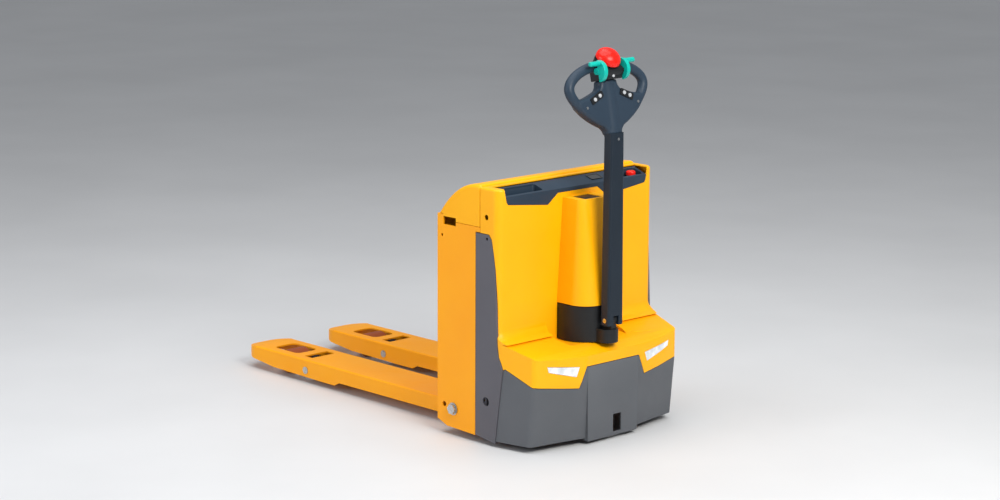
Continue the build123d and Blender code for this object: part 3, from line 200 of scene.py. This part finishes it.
# Turquoise dyed POM of the travel wings has a smooth, waxy gloss.
WING_POM = moulded("moulded_pom_turquoise", "#08B5A6", "#06A092", 0.30, 1.2, 0.01)
# Signal red ABS of the safety switches is polished in the mould.
SIGNAL_ABS = moulded("moulded_abs_signal_red", "#F01E10", "#DE160B", 0.27, 1.5, 0.008)
# Clear grey polycarbonate keycaps catch the light as small pale spots.
KEYCAP_PC = moulded("moulded_pc_silver", "#B9BCC0", "#A4A8AC", 0.25, 1.0, 0.01)
# Nylon 6 sliding pads stay natural ivory.
PAD_NYLON = moulded("natural_nylon", "#DDD8C6", "#CFC9B4", 0.5, 1.0, 0.02)
# Battery trough and connector plastics.
BATTERY_PP = moulded("battery_trough_pp", "#2B2D31", "#232529", 0.5, 1.4, 0.04)
CONNECTOR_PC = moulded("connector_pc_red", "#A8201A", "#8F1813", 0.4, 1.0, 0.02)


def lens_material():
    """Ribbed acrylic over a white reflector: pale, glossy, with vertical flutes 7 mm apart."""
    material, tree, shader, place = start("ribbed_acrylic_lens", 0.12, ior=1.49, coat=1.0, coat_roughness=0.03)
    flute = add(tree, "ShaderNodeTexWave", {"Vector": place, "Scale": 0.31 / (7 * MM), "Distortion": 0.4},
                bands_direction="Y")
    bump = add(tree, "ShaderNodeBump", {"Height": flute.outputs["Fac"], "Distance": 0.8 * MM, "Strength": 0.6})
    tree.links.new(bump.outputs["Normal"], shader.inputs["Normal"])
    mix = tint(tree, shader, place, "#F4F5F6", "#C4CAD0", 30, share=1.0)
    tree.links.new(mix.outputs["Result"], shader.inputs["Emission Color"])
    shader.inputs["Emission Strength"].default_value = 0.08
    return material


def display_material():
    """Smoked glass window of the battery display."""
    material, tree, shader, place = start("smoked_display_glass", 0.08, ior=1.52, coat=1.0, coat_roughness=0.02)
    tint(tree, shader, place, "#0D1013", "#1A2026", 20)
    grain(tree, shader, place, 6, 0.01)
    return material


LENS = lens_material()
DISPLAY_GLASS = display_material()


# ---------------------------------------------------------------- mesh helpers
def link(name, mesh):
    """A new object at the origin that holds the mesh."""
    obj = bpy.data.objects.new(name, mesh)
    bpy.context.scene.collection.objects.link(obj)
    return obj


def from_bmesh(name, bm, material, smooth_angle=40):
    """Finishes a bmesh as an object with one material and smooth shading below the given angle."""
    mesh = bpy.data.meshes.new(name)
    bm.to_mesh(mesh)
    bm.free()
    obj = link(name, mesh)
    mesh.materials.append(material)
    shade(obj, smooth_angle)
    return obj


def shade(obj, angle):
    """Smooth shading with creases sharper than the angle kept."""
    for polygon in obj.data.polygons:
        polygon.use_smooth = True
    obj.data.set_sharp_from_angle(angle=radians(angle))


def settle(obj):
    """Applies the modifiers of an object to its mesh."""
    bpy.context.view_layer.update()
    graph = bpy.context.evaluated_depsgraph_get()
    mesh = bpy.data.meshes.new_from_object(obj.evaluated_get(graph))
    obj.modifiers.clear()
    obj.data = mesh
    return obj


def place_piece(obj, body, slot, *nodes):
    """The piece rides on a body and stands for its CAD nodes, which are hidden. The slot argument is not used."""
    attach(obj, body)
    if nodes:
        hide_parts(*nodes)
    return obj


def body_of_node(node):
    """The body that a CAD node rides on."""
    return NODES[node]["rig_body"]


def slot_of_node(node):
    """The finish slot of a CAD node, from the record."""
    for row in frame["record"]["subparts"]:
        if row["node"] == node:
            return row["material_slot"]
    return None


def softened(node, material, round_mm, segments=2, angle=32):
    """A merged copy of a CAD node with its sharp edges broken by a small radius."""
    bm = bmesh.new()
    bm.from_mesh(NODES[node].data)
    bmesh.ops.remove_doubles(bm, verts=bm.verts, dist=0.00002)
    bmesh.ops.dissolve_limit(bm, angle_limit=radians(0.8), verts=bm.verts, edges=bm.edges)
    mesh = bpy.data.meshes.new(node + "_finished")
    bm.to_mesh(mesh)
    bm.free()
    obj = link(node + "_finished", mesh)
    mesh.materials.clear()
    mesh.materials.append(material)
    shade(obj, angle)
    bevel = obj.modifiers.new("broken_edge", "BEVEL")
    bevel.width = round_mm * MM
    bevel.segments = segments
    bevel.limit_method = "ANGLE"
    bevel.angle_limit = radians(angle)
    bevel.use_clamp_overlap = True
    bevel.harden_normals = True
    place_piece(obj, body_of_node(node), slot_of_node(node), node)
    return obj


# ---------------------------------------------------------------- carried-over nodes
PLAIN = {
    "rocker_pins": ZINC, "rockers": CASTING, "roller_axles": ZINC, "push_rods": ZINC,
    "cranks": CASTING, "lid_hinge": CHASSIS_BLACK, "guide_pads": PAD_NYLON,
    "lift_rod": ZINC, "lift_cylinder": CHASSIS_BLACK, "key_switch": ZINC, "key": ZINC, "pump_motor": CHASSIS_BLACK,
    "oil_tank": BLACK_NYLON, "motor_controller": BLACK_NYLON, "steering_bearing_outer": ZINC,
    "steering_bearing_inner": ZINC, "left_castor_fork": ZINC, "right_castor_fork": ZINC,
    "left_castor_wheel": CASTOR_PU, "right_castor_wheel": CASTOR_PU, "drive_motor": CHASSIS_BLACK,
    "gearbox": CASTING, "wheel_axle": ZINC, "wheel_hub": CASTING, "drive_tyre": TYRE_RUBBER, "tiller_pin": ZINC,
    "control_shaft": ZINC, "battery": BATTERY_PP, "battery_connector": CONNECTOR_PC, "stop_base": COVER_ABS,
    "front_lights": LENS, "display_unit": DISPLAY_GLASS, "head_screws": ZINC, "horn_button": KEYCAP_PC,
    "left_inner_button": KEYCAP_PC, "right_inner_button": KEYCAP_PC, "left_outer_button": KEYCAP_PC,
    "right_outer_button": KEYCAP_PC, "emergency_stop": SIGNAL_ABS, "button_bases": BLACK_NYLON,
    "cross_shaft": ZINC, "left_load_roller": ROLLER_PU, "right_load_roller": ROLLER_PU,
    "belly_switch": SIGNAL_ABS, "control_wings": WING_POM, "control_housing": BLACK_NYLON,
}
SOFTENED = {
    "battery_box": (CARRIAGE_COAT, 1.2), "left_fork": (CARRIAGE_COAT, 1.5), "right_fork": (CARRIAGE_COAT, 1.5),
    "battery_lid": (COVER_ABS, 1.6), "motor_hood": (COVER_ABS, 1.4), "column_cover": (COVER_ABS, 1.4),
    "instrument_tray": (HEAD_NYLON, 1.2), "front_skirt": (SKIRT_PP, 1.4), "chassis_frame": (STRIP_COAT, 1.0),
    "tiller_bracket": (BLACK_NYLON, 1.2), "tiller_pole": (POLE_COAT, 0.8),
}


def finish_plain_nodes():
    """Gives the small and hidden CAD nodes their materials."""
    for node, material in PLAIN.items():
        data = NODES[node].data
        data.materials.clear()
        data.materials.append(material)


def finish_large_nodes():
    """Replaces the large visible CAD nodes by copies with softly broken edges."""
    for node, (material, round_mm) in SOFTENED.items():
        softened(node, material, round_mm)


# ---------------------------------------------------------------- painted shade in the column mouth
# Size, setback, drop and edge of the black plate that paints the shade inside the column mouth, in mm.
SHADE_PLATE_SIZE = (70, 81, 4)
SHADE_PLATE_SETBACK = 41.5
SHADE_PLATE_DROP = 5
SHADE_PLATE_EDGE = 1.2


def column_mouth_painted_shade():
    """Black plate across the mouth of the motor cover, painted shade for the dark inside of the column. It closes
    that opening to the eye only.
    """
    low, high = (Vector(corner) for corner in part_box("column_cover"))
    bm = bmesh.new()
    bmesh.ops.create_cube(bm, size=1.0)
    bmesh.ops.scale(bm, vec=[side * MM for side in SHADE_PLATE_SIZE], verts=bm.verts)
    bmesh.ops.translate(bm, vec=(low.x + SHADE_PLATE_SETBACK * MM, 0.0, high.z - SHADE_PLATE_DROP * MM), verts=bm.verts)
    bmesh.ops.bevel(bm, geom=bm.edges[:], offset=SHADE_PLATE_EDGE * MM, segments=2, profile=0.5, material=-1,
                    affect="EDGES")
    piece = from_bmesh("column_mouth_painted_shade", bm, BLACK_NYLON)
    place_piece(piece, body_of_node("column_cover"), slot_of_node("tiller_bracket"))


# ---------------------------------------------------------------- tiller head
HEAD_OUTLINE = ((30, -10), (33, 2), (44, 14), (68, 25), (94, 40), (122, 60), (146, 84), (158, 108), (130, 114),
                (104, 118), (72, 128), (50, 136), (40, 148), (37, 166))
RING_LINE = ((40, 24, 0.5), (62, 36, 0.6), (90, 53, 0.75), (124, 79, 0.9), (152, 108, 1.0), (169, 134, 1.0),
             (170, 156, 1.0), (150, 182, 1.0), (98, 207, 1.0), (40, 215, 1.0))
HEAD_THICKNESS = 42
HEAD_EDGE = 11
HEAD_PARTING = 20
PARTING_GAP = 0.8
HEAD_VOXEL = 2.6
RING_RADIUS = 17


def head_plate():
    """Solid plate of the head between its neck, its shoulders and the control drum."""
    bm = bmesh.new()
    outline = list(HEAD_OUTLINE) + [(-x, y) for x, y in reversed(HEAD_OUTLINE)]
    verts = [bm.verts.new((x * MM, y * MM, 0)) for x, y in outline]
    face = bm.faces.new(verts)
    back = bmesh.ops.extrude_face_region(bm, geom=[face])
    moved = [item for item in back["geom"] if isinstance(item, bmesh.types.BMVert)]
    bmesh.ops.translate(bm, vec=(0, 0, -HEAD_THICKNESS * MM), verts=moved)
    bmesh.ops.recalc_face_normals(bm, faces=bm.faces)
    rims = [edge for edge in bm.edges if abs(edge.verts[0].co.z - edge.verts[1].co.z) < 0.0001]
    bmesh.ops.bevel(bm, geom=rims, offset=HEAD_EDGE * MM, offset_type="OFFSET", segments=4, profile=0.5, material=-1,
                    affect="EDGES", clamp_overlap=True)
    return bm


def head_ridge(bm):
    """Low ridge down the middle of the face, carried on from the front of the pole."""
    ridge = bmesh.ops.create_cone(bm, cap_ends=True, segments=24, radius1=30 * MM, radius2=26 * MM,
                                  depth=176 * MM)["verts"]
    bmesh.ops.rotate(bm, cent=(0, 0, 0), matrix=Matrix.Rotation(radians(-90), 3, "X"), verts=ridge)
    bmesh.ops.scale(bm, vec=(1, 1, 0.42), verts=ridge)
    bmesh.ops.translate(bm, vec=(0, 78 * MM, -8.5 * MM), verts=ridge)


def ring_tube(side):
    """Half of the ring as a mesh: a tube that swells out of the shoulder and runs to the control drum."""
    data = bpy.data.curves.new("ring_line", "CURVE")
    data.dimensions = "3D"
    data.bevel_depth = RING_RADIUS * MM
    data.bevel_resolution = 6
    data.use_fill_caps = True
    spline = data.splines.new("NURBS")
    spline.points.add(len(RING_LINE) - 1)
    for point, (across, up, swell) in zip(spline.points, RING_LINE):
        point.co = (side * across * MM, up * MM, -(HEAD_THICKNESS / 2 - 3 * swell) * MM, 1.0)
        point.radius = swell
    spline.order_u = 4
    spline.use_endpoint_u = True
    spline.resolution_u = 8
    obj = bpy.data.objects.new("ring_line", data)
    bpy.context.scene.collection.objects.link(obj)
    bpy.context.view_layer.update()
    mesh = bpy.data.meshes.new_from_object(obj.evaluated_get(bpy.context.evaluated_depsgraph_get()))
    bpy.data.objects.remove(obj)
    return mesh


def tiller_head():
    """The head as two moulded halves: plate, ridge and ring flow into one skin, parted along the edge."""
    bm = head_plate()
    head_ridge(bm)
    for side in (-1, 1):
        bm.from_mesh(ring_tube(side))
    bmesh.ops.recalc_face_normals(bm, faces=bm.faces)
    mesh = bpy.data.meshes.new("head_blank")
    bm.to_mesh(mesh)
    bm.free()
    blank = link("head_blank", mesh)
    skin = blank.modifiers.new("skin", "REMESH")
    skin.mode = "VOXEL"
    skin.voxel_size = HEAD_VOXEL * MM
    relax = blank.modifiers.new("relax", "SMOOTH")
    relax.factor = 0.6
    relax.iterations = 9
    settle(blank)
    for name, node, keep_front in (("head_front_moulding", "head_front_shell", True),
                                   ("head_rear_moulding", "head_rear_shell", False)):
        half = bmesh.new()
        half.from_mesh(blank.data)
        shift = -PARTING_GAP / 2 if keep_front else PARTING_GAP / 2
        level = -(HEAD_PARTING + shift) * MM
        everything = half.verts[:] + half.edges[:] + half.faces[:]
        bmesh.ops.bisect_plane(half, geom=everything, plane_co=(0, 0, level), plane_no=(0, 0, 1),
                               clear_inner=keep_front, clear_outer=not keep_front)
        bmesh.ops.holes_fill(half, edges=[edge for edge in half.edges if edge.is_boundary], sides=0)
        bmesh.ops.transform(half, matrix=HEAD_FRAME, verts=half.verts)
        bmesh.ops.recalc_face_normals(half, faces=half.faces)
        piece = from_bmesh(name, half, HEAD_NYLON, 50)
        nodes = [node, "grips"] if keep_front else [node]
        place_piece(piece, body_of_node(node), slot_of_node(node), *nodes)
    bpy.data.objects.remove(blank)


# ---------------------------------------------------------------- stage
def camera():
    """Camera on the truck's front right, a little above its head."""
    data = bpy.data.cameras.new("camera")
    data.lens = 95.0
    data.sensor_width = 36.0
    data.clip_end = 60.0
    obj = bpy.data.objects.new("camera", data)
    bpy.context.scene.collection.objects.link(obj)
    yaw = radians(43.58)
    pitch = radians(11.44)
    look = Vector((-cos(yaw) * cos(pitch), sin(yaw) * cos(pitch), -sin(pitch)))
    turn = look.to_track_quat("-Z", "Y").to_matrix().to_4x4()
    obj.matrix_world = Matrix.Translation((6.628, -6.061, 2.333)) @ turn @ Matrix.Rotation(radians(0.26), 4, "Z")
    bpy.context.scene.camera = obj


def floor():
    """Pale sealed floor, large enough to fill every view."""
    bm = bmesh.new()
    bmesh.ops.create_grid(bm, x_segments=1, y_segments=1, size=30.0)
    material, tree, shader, place = start("sealed_floor", 0.55)
    tint(tree, shader, place, "#D9DADC", "#CDCED0", 900)
    grain(tree, shader, place, 9, 0.06)
    obj = from_bmesh("floor", bm, material)


def area_light(name, where, target, size, power, colour):
    """Soft rectangular light aimed at a point."""
    data = bpy.data.lights.new(name, "AREA")
    data.shape = "RECTANGLE"
    data.size, data.size_y = size
    data.energy = power
    data.color = linear(colour)[:3]
    obj = bpy.data.objects.new(name, data)
    bpy.context.scene.collection.objects.link(obj)
    direction = Vector(target) - Vector(where)
    obj.matrix_world = Matrix.Translation(where) @ direction.to_track_quat("-Z", "Y").to_matrix().to_4x4()


def studio():
    """Plain soft light: a wide key from the front, a roof panel and a weak fill."""
    world = bpy.data.worlds.new("studio")
    bpy.context.scene.world = world
    world.use_nodes = True
    world.node_tree.nodes["Background"].inputs["Color"].default_value = linear("#E4E7EB")
    world.node_tree.nodes["Background"].inputs["Strength"].default_value = 0.42
    area_light("key", (4.6, -0.8, 3.6), (0.2, 0.0, 0.5), (2.6, 2.0), 225, "#FFFDF8")
    area_light("roof", (0.2, -0.4, 4.4), (0.2, 0.0, 0.0), (4.0, 4.0), 120, "#FFFFFF")
    area_light("fill", (-1.2, -4.6, 2.0), (0.2, 0.0, 0.5), (3.0, 2.0), 70, "#F8FAFF")
    bpy.context.scene.view_settings.view_transform = "Standard"


camera()
floor()
studio()
finish_plain_nodes()
finish_large_nodes()
column_mouth_painted_shade()
tiller_head()
